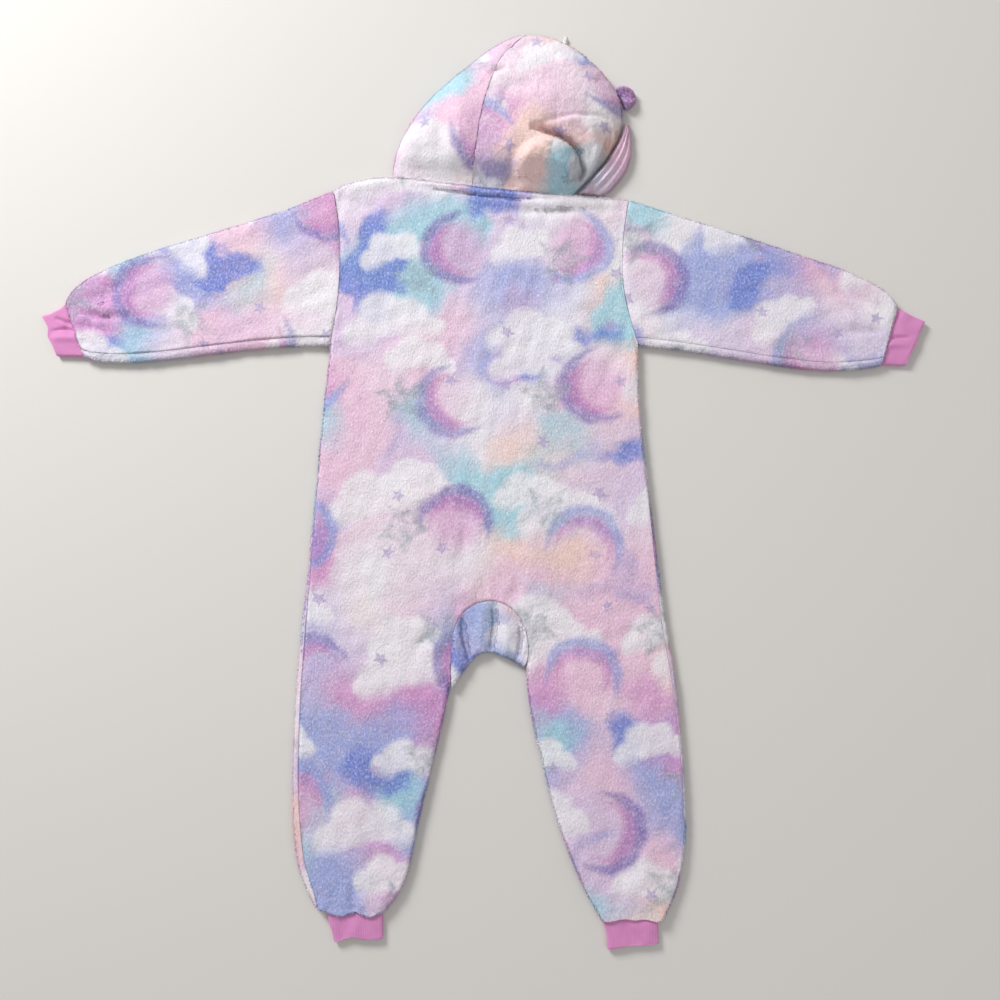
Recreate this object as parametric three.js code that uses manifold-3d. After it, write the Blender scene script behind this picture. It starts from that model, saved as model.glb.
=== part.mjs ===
// A child's hooded one-piece suit in plush printed fleece, laid out flat on its front with its back up.
// Millimetres. +Z is up out of the back, +Y runs towards the hood, +X to the sleeve on the wearer's right.
// The origin is the middle of the suit's box, on the surface that it lies on.
//
// Every cloth piece is a wall. Body, legs, sleeves and cuffs are flattened tubes: a flat layer on the
// floor, a flat layer above it, and a round fold along each edge, cut into pieces along the real seams.

import * as THREE from 'three';
import { mergeVertices } from 'three/addons/utils/BufferGeometryUtils.js';
import Module from 'manifold-3d';

const wasm = await Module();
wasm.setup();

// ---- driving dimensions -------------------------------------------------------------------------

const FLEECE = 3;              // wall of the plush fleece
const RIB = 2;                 // wall of the doubled jersey cuff
const SEAM = 0.3;              // gap left between two sewn pieces
const BODY_HEIGHT = 9.5;       // floor to top layer, body, legs and sleeves
const CUFF_HEIGHT = 7;         // floor to top layer, cuffs
const EDGE_STEPS = 4;          // faces round one folded edge

// The body's outline where it is one wide tube, from the underarms to the crotch. side_seam is how far the
// side seams lie from the fold, measured round it, towards the top layer.
const TORSO = [
  { y: 137, left: -174.5, right: 177, side_seam: 0 },
  { y: 105, left: -178.5, right: 175.5, side_seam: 0 },
  { y: 50, left: -183, right: 179, side_seam: 2 },
  { y: -8, left: -187, right: 185, side_seam: 4 },
  { y: -65, left: -192, right: 191, side_seam: 5 },
  { y: -122, left: -196, right: 197, side_seam: 6 },
];

// Each leg: outer and inner edge. Where on_gusset is set, the inner edge is the gusset's seam.
const LEFT_LEG = [
  { y: -168, outer: -201, inner: -30.2, side_seam: 8, on_gusset: true },
  { y: -192, outer: -202.5, inner: -36, side_seam: 8, on_gusset: true },
  { y: -232, outer: -205.5, inner: -35.5, side_seam: 9, on_gusset: true },
  { y: -247, outer: -206.5, inner: -37.5, side_seam: 9 },
  { y: -300, outer: -208.5, inner: -49, side_seam: 10 },
  { y: -350, outer: -208.5, inner: -61.5, side_seam: 10 },
  { y: -392, outer: -207, inner: -72, side_seam: 12 },
  { y: -424, outer: -203, inner: -77, side_seam: 12 },
  { y: -450, outer: -194.5, inner: -84, side_seam: 12 },
  { y: -470, outer: -184, inner: -97, side_seam: 10 },
  { y: -480, outer: -169, inner: -107, side_seam: 4 },
];
const RIGHT_LEG = [
  { y: -168, outer: 203, inner: 45.2, side_seam: 8, on_gusset: true },
  { y: -192, outer: 206.5, inner: 51, side_seam: 8, on_gusset: true },
  { y: -209, outer: 209.5, inner: 50, side_seam: 8, on_gusset: true },
  { y: -224, outer: 212, inner: 46.5, side_seam: 8 },
  { y: -280, outer: 217.5, inner: 54, side_seam: 6 },
  { y: -345, outer: 221.5, inner: 71, side_seam: 5 },
  { y: -392, outer: 222, inner: 83.5, side_seam: 5 },
  { y: -426, outer: 218.5, inner: 97, side_seam: 5 },
  { y: -455, outer: 212, inner: 109, side_seam: 5 },
  { y: -476, outer: 202, inner: 121.5, side_seam: 4 },
  { y: -486.5, outer: 190.5, inner: 129.5, side_seam: 3 },
];

// The top fold of the back, over both shoulders and behind the neck.
const SHOULDER_LINE = [
  { x: -174.5, y: 327 }, { x: -161, y: 337 }, { x: -137, y: 343 }, { x: -106, y: 344 }, { x: -62, y: 339 },
  { x: -4, y: 331 }, { x: 65, y: 324 }, { x: 135, y: 319 }, { x: 168, y: 316 },
];

// Armhole seams: the body's side of them, from the shoulder fold down to the underarm.
const ARMHOLES = [
  { y: 327, left: -174.5, right: 169.5 },
  { y: 316, left: -171.5, right: 168 },
  { y: 300, left: -168, right: 165 },
  { y: 262, left: -164.5, right: 159 },
  { y: 208, left: -165, right: 159.6 },
  { y: 180, left: -168.6, right: 166 },
  { y: 148, left: -174, right: 175.5 },
  { y: 144, left: -174.2, right: 176.6 },
];
const TORSO_ROWS_AT_ARMHOLE = [300, 262, 208, 180, 148];

// Sleeves: lower (underarm) and upper edge of each section, from the armhole to the wrist.
const LEFT_SLEEVE = [
  { lower: [-174.3, 144], upper: [-175.4, 327] },
  { lower: [-208, 144.5], upper: [-208, 312] },
  { lower: [-252, 141], upper: [-255, 295] },
  { lower: [-298, 136], upper: [-306, 279] },
  { lower: [-346, 129.5], upper: [-360, 262.5] },
  { lower: [-392, 124.5], upper: [-412, 244] },
  { lower: [-427, 124], upper: [-448, 228] },
  { lower: [-446, 127], upper: [-470, 212] },
  { lower: [-454.5, 130.5], upper: [-479, 195] },
];
const RIGHT_SLEEVE = [
  { lower: [177.5, 144], upper: [168.8, 315.5] },
  { lower: [208, 141], upper: [204, 304] },
  { lower: [252, 134.5], upper: [254, 288] },
  { lower: [300, 126.5], upper: [306, 271] },
  { lower: [352, 118], upper: [362, 251.5] },
  { lower: [398, 114], upper: [412, 234] },
  { lower: [430, 117], upper: [448, 218] },
  { lower: [447, 119.5], upper: [466, 204] },
  { lower: [453, 121.5], upper: [473.5, 190.5] },
];
const UNDERARM_SEAM = 9;       // from the lower edge, on the top layer

// Cuffs: the lower and upper edge where they are sewn on, half way along, and at the folded end.
const CUFFS = [
  {
    name: 'wrist_cuff_left',
    lower: [[-455.2, 131], [-470, 131.5], [-486.5, 131.5]],
    upper: [[-479.6, 194], [-489, 184], [-506.5, 179.5]],
  },
  {
    name: 'wrist_cuff_right',
    lower: [[453.8, 121.5], [466, 121], [481, 120.5]],
    upper: [[474.2, 190], [488, 181], [506.5, 173]],
  },
  {
    name: 'ankle_cuff_left',
    lower: [[-107.5, -480.5], [-107, -496], [-107, -508]],
    upper: [[-168.5, -480.5], [-165, -497], [-160, -513.5]],
  },
  {
    name: 'ankle_cuff_right',
    lower: [[130, -487], [132.5, -503], [134, -519.4]],
    upper: [[190, -487], [190, -500], [190.5, -513]],
  },
];

// The crotch gusset: a half ellipse between the legs, and its lower edge where it folds under.
// The back meets its arch between two angles, measured from +X.
const GUSSET = {
  centre_x: 7.5, springing_y: -192, half_width: 43.5, rise: 48, left_angle: 150, right_angle: 30,
};
const GUSSET_ROWS = [
  { seam: [-34.9, -233], edge: [-34, -243] },
  { seam: [-35.5, -213], edge: [-28, -233] },
  { angle: 180, edge: [-20, -221] },
  { angle: 150, edge: [-11, -209] },
  { angle: 120, edge: [-2, -203] },
  { angle: 90, edge: [9, -202] },
  { angle: 60, edge: [20, -206] },
  { angle: 30, edge: [31, -211] },
  { angle: 0, edge: [40, -215] },
  { seam: [49.2, -212.5], edge: [45, -219.5] },
];

// The hood's back, lying on its folded front: the two panels meet at the seam. crest is the height in the
// middle of each section, rim_left and rim_right are how high the panels' lower edges stand.
const HOOD = [
  { left: [-106, 347], seam: [-13, 334.5], right: [103, 323.5], crest: 13, rim_left: 3.3, rim_right: 3.3 },
  { left: [-105, 362], seam: [-11.5, 349], right: [123, 341], crest: 29, rim_left: 3.3, rim_right: 3.3 },
  { left: [-98, 386], seam: [-7, 382], right: [149, 372], crest: 39, rim_left: 3.3, rim_right: 3.3 },
  { left: [-86, 408], seam: [-2, 411], right: [162, 404], crest: 41, rim_left: 3.3, rim_right: 3.3 },
  { left: [-68, 433], seam: [5, 437], right: [163, 434], crest: 39, rim_left: 3.3, rim_right: 3.3 },
  { left: [-45, 455], seam: [12, 460], right: [147, 460], crest: 35, rim_left: 3.3, rim_right: 3.3 },
  { left: [-20, 476], seam: [19, 477], right: [129, 481], crest: 30, rim_left: 3.3, rim_right: 5 },
  { left: [2, 496], seam: [29, 493], right: [105, 501], crest: 23, rim_left: 3.3, rim_right: 7 },
  { left: [26, 511], seam: [40, 507], right: [76, 513.5], crest: 16, rim_left: 3.3, rim_right: 6 },
  { left: [43, 518], seam: [49, 516], right: [57, 518], crest: 9, rim_left: 3.3, rim_right: 3.3 },
];
const HOOD_FULLNESS = 2.6;     // how square the mound's section is: 2 would be an ellipse
const HOOD_LIFTED = [12, 30];  // heights between which the panels start to follow their folds

// The hidden layers: a flat layer that stops short of the rims, and a heap on it between two shares of the
// way across, under the outer panels.
const HOOD_LAYERS = {
  left: 0.012, right: 0.988, flange: 3, under_crest: 11, least: 1,
  heap: [0.1, 0.14, 0.25, 0.4, 0.6, 0.75, 0.86, 0.9],
};

// The gathered hem of the hood's face opening, showing past the right panel.
const HEM = [
  { inner: [110, 323.5], outer: [139.5, 321.5], height: 12 },
  { inner: [130, 343.5], outer: [155, 336.5], height: 15 },
  { inner: [147, 364.5], outer: [169, 357], height: 16 },
  { inner: [158, 384], outer: [172.5, 379], height: 14 },
  { inner: [165, 400], outer: [171.5, 397], height: 11 },
  { inner: [166.5, 409], outer: [169.5, 409], height: 7 },
];
const HEM_PROFILE = [          // share of the way across, share of the height: three soft rolls
  { across: 0, up: 0.72 }, { across: 0.14, up: 1 }, { across: 0.3, up: 0.8 }, { across: 0.45, up: 0.93 },
  { across: 0.62, up: 0.66 }, { across: 0.8, up: 0.72 }, { across: 0.95, up: 0.5 }, { across: 1, up: 0.2 },
];

// Soft folds raised in the top layer: ridges along a line, or shallow troughs where height is negative.
const FOLDS = [
  { name: 'neck fold', from: [-98, 334], to: [62, 316], width: 7, height: 2.6 },
  { name: 'right shoulder roll', from: [40, 313], to: [152, 308], width: 8, height: 3.4 },
  { name: 'left shoulder dent', from: [-165, 318], to: [-122, 305], width: 9, height: -1.2 },
  { name: 'middle back hollow', from: [-20, -38], to: [-20, -118], width: 12, height: -1 },
  { name: 'seat', from: [-60, -60], to: [85, -70], width: 55, height: 2 },
  { name: 'left calf pull', from: [-150, -395], to: [-118, -438], width: 9, height: -1.2 },
  { name: 'right wrist pull', from: [418, 192], to: [452, 160], width: 8, height: 2.5 },
  { name: 'left wrist pull', from: [-462, 178], to: [-440, 172], width: 8, height: 2 },
];
const HOOD_FOLDS = [
  { name: 'lobe, upper', from: [56, 372], to: [86, 352], width: 24, height: 7 },
  { name: 'lobe, lower', from: [58, 338], to: [84, 335], width: 20, height: 6 },
  { name: 'roll round the lobe', from: [112, 385], to: [129, 352], width: 10, height: 4 },
];

// Zip down the middle of the front, which faces the floor.
const ZIP = {
  top_y: 312, bottom_y: -112, channel: 6, x_top: -3, x_bottom: 7.5,
  tape: { width: 12.5, thick: 1, z: 3.65 },
  teeth: { width: 4.6, thick: 1.6, z: 3.35 },
  slider_y: 296, slider_length: 9, slider_width: 8.4, plate: 0.8,
  bail: { width: 1.6, reach: 2.6, leg: 0.9, thick: 0.7, z: 0.2 },
  hinge_z: 1.6,
  pull: {
    length: 24, width: 6.4, thick: 0.8, flare: 0.6, corner: 3, point: 1.4, eye_length: 5.6, eye_play: 0.5,
  },
};

// The horn and the ears, on the hood's front and sides.
const HORN = {
  base: [84, 437], tip: [97, 519.4], base_radius: 14, tip_radius: 1.4, squash: 0.72, sides: 10, rounding: 2.5,
};
const RIGHT_EAR = [            // sections from the hood's edge out to the tip
  { lower: [164.8, 431.5], upper: [155.5, 452.5], height: 11 },
  { lower: [167.5, 426], upper: [163, 455.5], height: 12 },
  { lower: [174, 430], upper: [171.5, 453], height: 10 },
  { lower: [178, 437], upper: [177.5, 446], height: 6 },
];
const LEFT_EAR = { base: [-62, 404], tip: [-12, 428], half: 17, thick: 6 };

const COLOURS = {
  fleece: { color: 0xd9c6e6, roughness: 0.95, metalness: 0 },
  rib: { color: 0xdd86c8, roughness: 0.85, metalness: 0 },
  white_plush: { color: 0xf2f0ee, roughness: 0.9, metalness: 0 },
  zip_tape: { color: 0xe3a9d6, roughness: 0.8, metalness: 0 },
  zip_teeth: { color: 0xe9b5dc, roughness: 0.5, metalness: 0 },
  zip_metal: { color: 0xc9c9cc, roughness: 0.35, metalness: 0.9 },
};

// ---- small tools --------------------------------------------------------------------------------

const mix = (a, b, t) => a + (b - a) * t;
const mixPoint = (a, b, t) => a.map((value, i) => mix(value, b[i], t));

// Reads column `key` of a table at place x of column `by`, straight between the rows.
function read(table, by, key, x) {
  const rows = [...table].sort((a, b) => a[by] - b[by]);
  if (x <= rows[0][by]) return rows[0][key];
  for (let i = 1; i < rows.length; i++) {
    if (x <= rows[i][by]) {
      return mix(rows[i - 1][key], rows[i][key], (x - rows[i - 1][by]) / (rows[i][by] - rows[i - 1][by]));
    }
  }
  return rows[rows.length - 1][key];
}

// A folded edge of a tube of this height. place is measured round the fold from its outermost line:
// positive up and over the top layer, negative under the bottom one. depth is how far in through the cloth
// the point lies. Gives how far in from the edge, and how high.
function edge(place, height, depth) {
  const radius = height / 2;
  const quarter = Math.PI * radius / 2;
  const turned = Math.min(Math.abs(place), quarter) / radius;
  const inward = radius - (radius - depth) * Math.cos(turned) + Math.max(Math.abs(place) - quarter, 0);
  return { inward, z: radius + Math.sign(place) * (radius - depth) * Math.sin(turned) };
}

// How far a point's top layer is lifted by the soft folds round it.
function liftAt(x, y, folds) {
  let lift = 0;
  for (const fold of folds) {
    const [ax, ay] = fold.from;
    const [bx, by] = fold.to;
    const along = ((x - ax) * (bx - ax) + (y - ay) * (by - ay)) / ((bx - ax) ** 2 + (by - ay) ** 2);
    const t = Math.min(Math.max(along, 0), 1);
    const away = Math.hypot(x - mix(ax, bx, t), y - mix(ay, by, t));
    lift += fold.height * Math.exp(-((away / fold.width) ** 2));
  }
  return lift;
}

// Moves the top layer of a flattened tube, and leaves the layer on the floor flat.
function liftTopLayer([x, y, z]) {
  const share = THREE.MathUtils.smoothstep(z, FLEECE, BODY_HEIGHT - FLEECE);
  return [x, y, z + share * liftAt(x, y, FOLDS)];
}

// ---- solids -------------------------------------------------------------------------------------

function closedGeometry(points, triangles) {
  let volume = 0;
  for (const [a, b, c] of triangles) {
    const [p, q, r] = [points[a], points[b], points[c]];
    volume += p[0] * (q[1] * r[2] - q[2] * r[1]) - p[1] * (q[0] * r[2] - q[2] * r[0])
      + p[2] * (q[0] * r[1] - q[1] * r[0]);
  }
  const facing = volume > 0 ? triangles : triangles.map(([a, b, c]) => [a, c, b]);
  const geometry = new THREE.BufferGeometry();
  geometry.setAttribute('position', new THREE.Float32BufferAttribute(points.flat(), 3));
  geometry.setIndex(facing.flat());
  return geometry;
}

// A cloth wall. gridsAt(depth) gives one or more grids of points that share their edges, at that depth in
// the cloth: depth 0 is the outer face, and the inner face has the same points deeper in. Open edges are
// closed with a strip between the two.
function wall(gridsAt, thickness, shape = (point) => point) {
  const points = [];
  const innerPoints = [];
  const known = new Map();
  const pointIndex = (point, inner) => {
    const key = point.map((value) => Math.round(value * 1000)).join(',');
    if (!known.has(key)) {
      known.set(key, points.push(point) - 1);
      innerPoints.push(inner);
    }
    return known.get(key);
  };
  const innerGrids = gridsAt(thickness);
  const outer = [];
  gridsAt(0).forEach((grid, g) => {
    const index = (row, column) => pointIndex(grid[row][column], innerGrids[g][row][column]);
    for (let row = 0; row + 1 < grid.length; row++) {
      for (let column = 0; column + 1 < grid[row].length; column++) {
        const [a, b] = [index(row, column), index(row + 1, column)];
        const [c, d] = [index(row + 1, column + 1), index(row, column + 1)];
        outer.push([a, b, c], [a, c, d]);
      }
    }
  });

  const count = points.length;
  const triangles = [...outer, ...outer.map(([a, b, c]) => [a + count, c + count, b + count])];
  const edges = new Set(outer.flatMap(([a, b, c]) => [`${a},${b}`, `${b},${c}`, `${c},${a}`]));
  for (const pair of edges) {
    const [a, b] = pair.split(',').map(Number);
    if (!edges.has(`${b},${a}`)) triangles.push([b, a, a + count], [b, a + count, b + count]);
  }
  return closedGeometry([...points, ...innerPoints].map(shape), triangles);
}

// A solid through closed loops of points, with each end closed by a fan from its first point.
function loft(loops) {
  const size = loops[0].length;
  const triangles = [];
  for (let row = 0; row + 1 < loops.length; row++) {
    for (let i = 0; i < size; i++) {
      const next = (i + 1) % size;
      const [a, b] = [row * size + i, row * size + next];
      triangles.push([a, b, b + size], [a, b + size, a + size]);
    }
  }
  const last = (loops.length - 1) * size;
  for (let i = 1; i + 1 < size; i++) {
    triangles.push([0, i + 1, i], [last, last + i, last + i + 1]);
  }
  return closedGeometry(loops.flat(), triangles);
}

function asManifold(geometry) {
  const bare = geometry.clone();
  bare.deleteAttribute('normal');
  bare.deleteAttribute('uv');
  const merged = mergeVertices(bare, 1e-4);
  return new wasm.Manifold(new wasm.Mesh({
    numProp: 3,
    vertProperties: new Float32Array(merged.attributes.position.array),
    triVerts: new Uint32Array(merged.index.array),
  }));
}

function asGeometry(solid) {
  const mesh = solid.getMesh();
  const geometry = new THREE.BufferGeometry();
  geometry.setAttribute('position', new THREE.BufferAttribute(mesh.vertProperties, 3));
  geometry.setIndex(new THREE.BufferAttribute(mesh.triVerts, 1));
  return geometry;
}

const garment = new THREE.Group();

function add(name, geometry, colour) {
  const mesh = new THREE.Mesh(geometry, new THREE.MeshStandardMaterial(COLOURS[colour]));
  mesh.name = name;
  garment.add(mesh);
}

// ---- body: back and fronts ----------------------------------------------------------------------

const STRIP_FACES = 10;        // faces across one leg, and across each side of the torso above it
const MIDDLE_FACES = 4;        // faces across the torso above the gusset
const EDGE_PITCH = 3;          // width of the first faces in from an edge

// Points across one layer of a tube from one edge to the other, as [x, z]. layer is 1 for the top one and
// -1 for the bottom one. An end with a seam is folded, and the layer starts at that place round the fold.
// An end with none is a plain cut at x.
function across(left, right, faces, layer, depth) {
  const quarter = Math.PI * BODY_HEIGHT / 4;
  const side = (end, inwardIs) => Array.from({ length: EDGE_STEPS }, (_, i) => {
    if (end.seam === undefined) return [end.x + inwardIs * i * EDGE_PITCH, BODY_HEIGHT - depth];
    const start = layer * end.seam + SEAM / 2;
    const flat = Math.max(quarter, start + EDGE_PITCH);
    const { inward, z } = edge(mix(start, flat, i / (EDGE_STEPS - 1)), BODY_HEIGHT, depth);
    return [end.x + inwardIs * inward, z];
  });
  const first = side(left, 1);
  const last = side(right, -1).reverse();
  const [from, to] = [first[EDGE_STEPS - 1][0], last[0][0]];
  const spans = faces - 2 * (EDGE_STEPS - 1);
  const middle = Array.from({ length: spans - 1 }, (_, i) => {
    return [mix(from, to, (i + 1) / spans), BODY_HEIGHT - depth];
  });
  return [...first, ...middle, ...last].map(([x, z]) => [x, layer > 0 ? z : BODY_HEIGHT - z]);
}

// The three runs of points across the torso: over the left leg, over the gusset, over the right leg.
function torsoRow(left, right, layer, depth) {
  const [leftCut, rightCut] = [{ x: LEFT_LEG[0].inner }, { x: RIGHT_LEG[0].inner }];
  const middleRun = Array.from({ length: MIDDLE_FACES - 1 }, (_, i) => {
    return [mix(leftCut.x, rightCut.x, (i + 1) / MIDDLE_FACES), layer > 0 ? BODY_HEIGHT - depth : depth];
  });
  return [
    ...across(left, leftCut, STRIP_FACES, layer, depth), ...middleRun,
    ...across(rightCut, right, STRIP_FACES, layer, depth),
  ];
}

const gussetSeam = (degrees) => {
  const angle = THREE.MathUtils.degToRad(degrees);
  const { centre_x, springing_y, half_width, rise } = GUSSET;
  return [centre_x + half_width * Math.cos(angle), springing_y + rise * Math.sin(angle)];
};

// One layer of the body as grids at this depth: the torso, then each leg.
function bodyLayer(layer, depth) {
  const armholeRow = (leftY, rightY) => torsoRow(
    { x: read(ARMHOLES, 'y', 'left', leftY) }, { x: read(ARMHOLES, 'y', 'right', rightY) }, layer, depth);
  const torso = [];
  for (let i = 0; i < EDGE_STEPS; i++) {
    const place = mix(SEAM / 2, Math.PI * BODY_HEIGHT / 4, i / (EDGE_STEPS - 1));
    const { inward, z } = edge(place, BODY_HEIGHT, depth);
    const row = armholeRow(SHOULDER_LINE[0].y - inward, SHOULDER_LINE[SHOULDER_LINE.length - 1].y - inward);
    const height = layer > 0 ? z : BODY_HEIGHT - z;
    torso.push(row.map(([x]) => [x, read(SHOULDER_LINE, 'x', 'y', x) - inward, height]));
  }
  for (const y of TORSO_ROWS_AT_ARMHOLE) torso.push(armholeRow(y, y).map(([x, z]) => [x, y, z]));
  for (const { y, left, right, side_seam } of TORSO) {
    const row = torsoRow({ x: left, seam: side_seam }, { x: right, seam: side_seam }, layer, depth);
    torso.push(row.map(([x, z]) => [x, y, z]));
  }

  const [leftTop, rightTop] = [LEFT_LEG[0], RIGHT_LEG[0]];
  const leftEnd = { x: leftTop.outer, seam: leftTop.side_seam };
  const rightEnd = { x: rightTop.outer, seam: rightTop.side_seam };
  const crotch = torsoRow(leftEnd, rightEnd, layer, depth);
  const crotchRow = crotch.map(([x, z], i) => {
    const along = (i - STRIP_FACES) / MIDDLE_FACES;
    const onArch = gussetSeam(mix(GUSSET.left_angle, GUSSET.right_angle, along));
    return along > 0 && along < 1 ? [...onArch, z] : [x, leftTop.y, z];
  });
  torso.push(crotchRow);

  const legRow = ({ y, outer, inner, side_seam, on_gusset }, outerIsLeft) => {
    const ends = [{ x: outer, seam: side_seam }, on_gusset ? { x: inner } : { x: inner, seam: 0 }];
    if (!outerIsLeft) ends.reverse();
    return across(...ends, STRIP_FACES, layer, depth).map(([x, z]) => [x, y, z]);
  };
  const leftRows = LEFT_LEG.slice(1).map((row) => legRow(row, true));
  const rightRows = RIGHT_LEG.slice(1).map((row) => legRow(row, false));
  const leftLeg = [crotchRow.slice(0, STRIP_FACES + 1), ...leftRows];
  const rightLeg = [crotchRow.slice(-STRIP_FACES - 1), ...rightRows];
  return { torso, leftLeg, rightLeg };
}

add('back', wall((depth) => Object.values(bodyLayer(1, depth)), FLEECE, liftTopLayer), 'fleece');

// Each front is half of the lower layer. It stops short of the middle by the zip's channel, and below the
// zip by the middle seam.
const zipX = (y) => mix(ZIP.x_bottom, ZIP.x_top, (y - ZIP.bottom_y) / (ZIP.top_y - ZIP.bottom_y));

function frontGrids(sign, depth) {
  const { torso, leftLeg, rightLeg } = bodyLayer(-1, depth);
  const middle = STRIP_FACES + MIDDLE_FACES / 2;
  const half = torso.map((row) => {
    const [, y, z] = row[middle];
    const gap = y > ZIP.bottom_y ? ZIP.channel : SEAM / 2;
    const cut = [zipX(Math.max(y, ZIP.bottom_y)) + sign * gap, y, z];
    return sign < 0 ? [...row.slice(0, middle), cut] : [cut, ...row.slice(middle + 1)];
  });
  return [half, sign < 0 ? leftLeg : rightLeg];
}
add('front_left', wall((depth) => frontGrids(-1, depth), FLEECE, liftTopLayer), 'fleece');
add('front_right', wall((depth) => frontGrids(1, depth), FLEECE, liftTopLayer), 'fleece');

// ---- crotch gusset: one piece, folded under along its lower edge --------------------------------

const gussetGrid = (depth) => GUSSET_ROWS.map((row) => {
  const seam = row.seam ?? gussetSeam(row.angle);
  const width = Math.hypot(seam[0] - row.edge[0], seam[1] - row.edge[1]);
  const quarter = Math.PI * BODY_HEIGHT / 4;
  const end = quarter + width - SEAM - BODY_HEIGHT / 2;
  const top = [end, mix(end, quarter, 0.5), quarter, quarter / 2];
  return [...top, 0, ...top.map((place) => -place).reverse()].map((place) => {
    const { inward, z } = edge(place, BODY_HEIGHT, depth);
    return [...mixPoint(row.edge, seam, inward / width), z];
  });
});
add('crotch_gusset', wall((depth) => [gussetGrid(depth)], FLEECE, liftTopLayer), 'fleece');

// ---- sleeves and cuffs: flattened tubes ---------------------------------------------------------

// Points round a flattened tube at places measured round it from its lower edge up over the top layer.
function ringPoints(lower, upper, height, places, depth) {
  const width = Math.hypot(upper[0] - lower[0], upper[1] - lower[1]);
  const half = width - height + Math.PI * height / 2;   // from the lower fold over the top to the upper
  return places(half, height).map((place) => {
    const fromLower = place > half ? place - 2 * half : place;
    const nearLower = Math.abs(fromLower) < half / 2;
    const fromFold = nearLower ? fromLower : Math.sign(fromLower) * (half - Math.abs(fromLower));
    const { inward, z } = edge(fromFold, height, depth);
    return [...mixPoint(lower, upper, (nearLower ? inward : width - inward) / width), z];
  });
}

const spread = (from, to, faces) => Array.from({ length: faces }, (_, i) => mix(from, to, i / faces));

// A sleeve is one panel, wrapped round and closed by the underarm seam on the top layer.
const sleevePlaces = (half, height) => {
  const quarter = Math.PI * height / 4;
  const seam = quarter + UNDERARM_SEAM - height / 2;
  return [
    ...spread(seam, half - quarter, 5), ...spread(half - quarter, half + quarter, 4),
    ...spread(half + quarter, 2 * half - quarter, 4), ...spread(2 * half - quarter, 2 * half + quarter, 4),
    2 * half + quarter, 2 * half + seam - SEAM,
  ];
};

function sleeveGrid(sections, side, depth) {
  const sewnOn = ([, y, z]) => [read(ARMHOLES, 'y', side, y) + (side === 'left' ? -SEAM : SEAM), y, z];
  return sections.map(({ lower, upper }, i) => {
    const ring = ringPoints(lower, upper, BODY_HEIGHT, sleevePlaces, depth);
    return i === 0 ? ring.map(sewnOn) : ring;
  });
}
const leftSleeve = (depth) => [sleeveGrid(LEFT_SLEEVE, 'left', depth)];
const rightSleeve = (depth) => [sleeveGrid(RIGHT_SLEEVE, 'right', depth)];
add('sleeve_left', wall(leftSleeve, FLEECE, liftTopLayer), 'fleece');
add('sleeve_right', wall(rightSleeve, FLEECE, liftTopLayer), 'fleece');

// Cuffs are closed bands of doubled rib, from the sleeve or leg out to the folded end.
const cuffPlaces = (half, height) => {
  const quarter = Math.PI * height / 4;
  return [
    ...spread(-quarter, quarter, 4), ...spread(quarter, half - quarter, 2),
    ...spread(half - quarter, half + quarter, 4), ...spread(half + quarter, 2 * half - quarter, 2),
    2 * half - quarter,
  ];
};
for (const { name, lower, upper } of CUFFS) {
  const grid = (depth) => lower.map((low, i) => ringPoints(low, upper[i], CUFF_HEIGHT, cuffPlaces, depth));
  add(name, wall((depth) => [grid(depth)], RIB), 'rib');
}

// ---- hood ---------------------------------------------------------------------------------------

// Shares of the way across a hood section, closer together near the two rims.
const HOOD_LEFT_SHARES = [0, 0.015, 0.06, 0.15, 0.3, 0.55, 0.8, 1];
const HOOD_RIGHT_SHARES = [0, 0.1, 0.25, 0.4, 0.55, 0.7, 0.83, 0.92, 0.97, 0.992, 1];

const hoodSeamShare = ({ left, seam, right }) => {
  const toLeft = Math.hypot(seam[0] - left[0], seam[1] - left[1]);
  return toLeft / (toLeft + Math.hypot(right[0] - seam[0], right[1] - seam[1]));
};

const hoodArch = (t) => (1 - Math.abs(2 * t - 1) ** HOOD_FULLNESS) ** 0.5;

// A point on one hood section. t runs 0 to 1 from the left rim to the right one.
function hoodPoint(section, t, depth) {
  const { seam, crest, rim_left, rim_right } = section;
  const share = hoodSeamShare(section);
  const inset = (rim) => mixPoint(rim, seam, depth / Math.hypot(seam[0] - rim[0], seam[1] - rim[1]));
  const plan = t < share
    ? mixPoint(inset(section.left), seam, t / share)
    : mixPoint(seam, inset(section.right), (t - share) / (1 - share));
  const rim = mix(rim_left, rim_right, t);
  return [...plan, rim + (crest - depth - rim) * hoodArch(t)];
}

function liftHood([x, y, z]) {
  const share = THREE.MathUtils.smoothstep(z, ...HOOD_LIFTED);
  return [x, y, z + share * liftAt(x, y, HOOD_FOLDS)];
}

// Each panel is moved this far from the seam, square to it.
const PANEL_SHIFT = [0.14, -0.06];
const leftPanel = (depth) => HOOD.map((section) => {
  return HOOD_LEFT_SHARES.map((t) => hoodPoint(section, t * hoodSeamShare(section), depth));
});
const rightPanel = (depth) => HOOD.map((section) => {
  return HOOD_RIGHT_SHARES.map((t) => hoodPoint(section, mix(hoodSeamShare(section), 1, t), depth));
});
const panelShape = (sign) => (point) => {
  const [x, y, z] = liftHood(point);
  return [x + sign * PANEL_SHIFT[0], y + sign * PANEL_SHIFT[1], z];
};
add('hood_left', wall((depth) => [leftPanel(depth)], FLEECE, panelShape(-1)), 'fleece');
add('hood_right', wall((depth) => [rightPanel(depth)], FLEECE, panelShape(1)), 'fleece');

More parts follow.
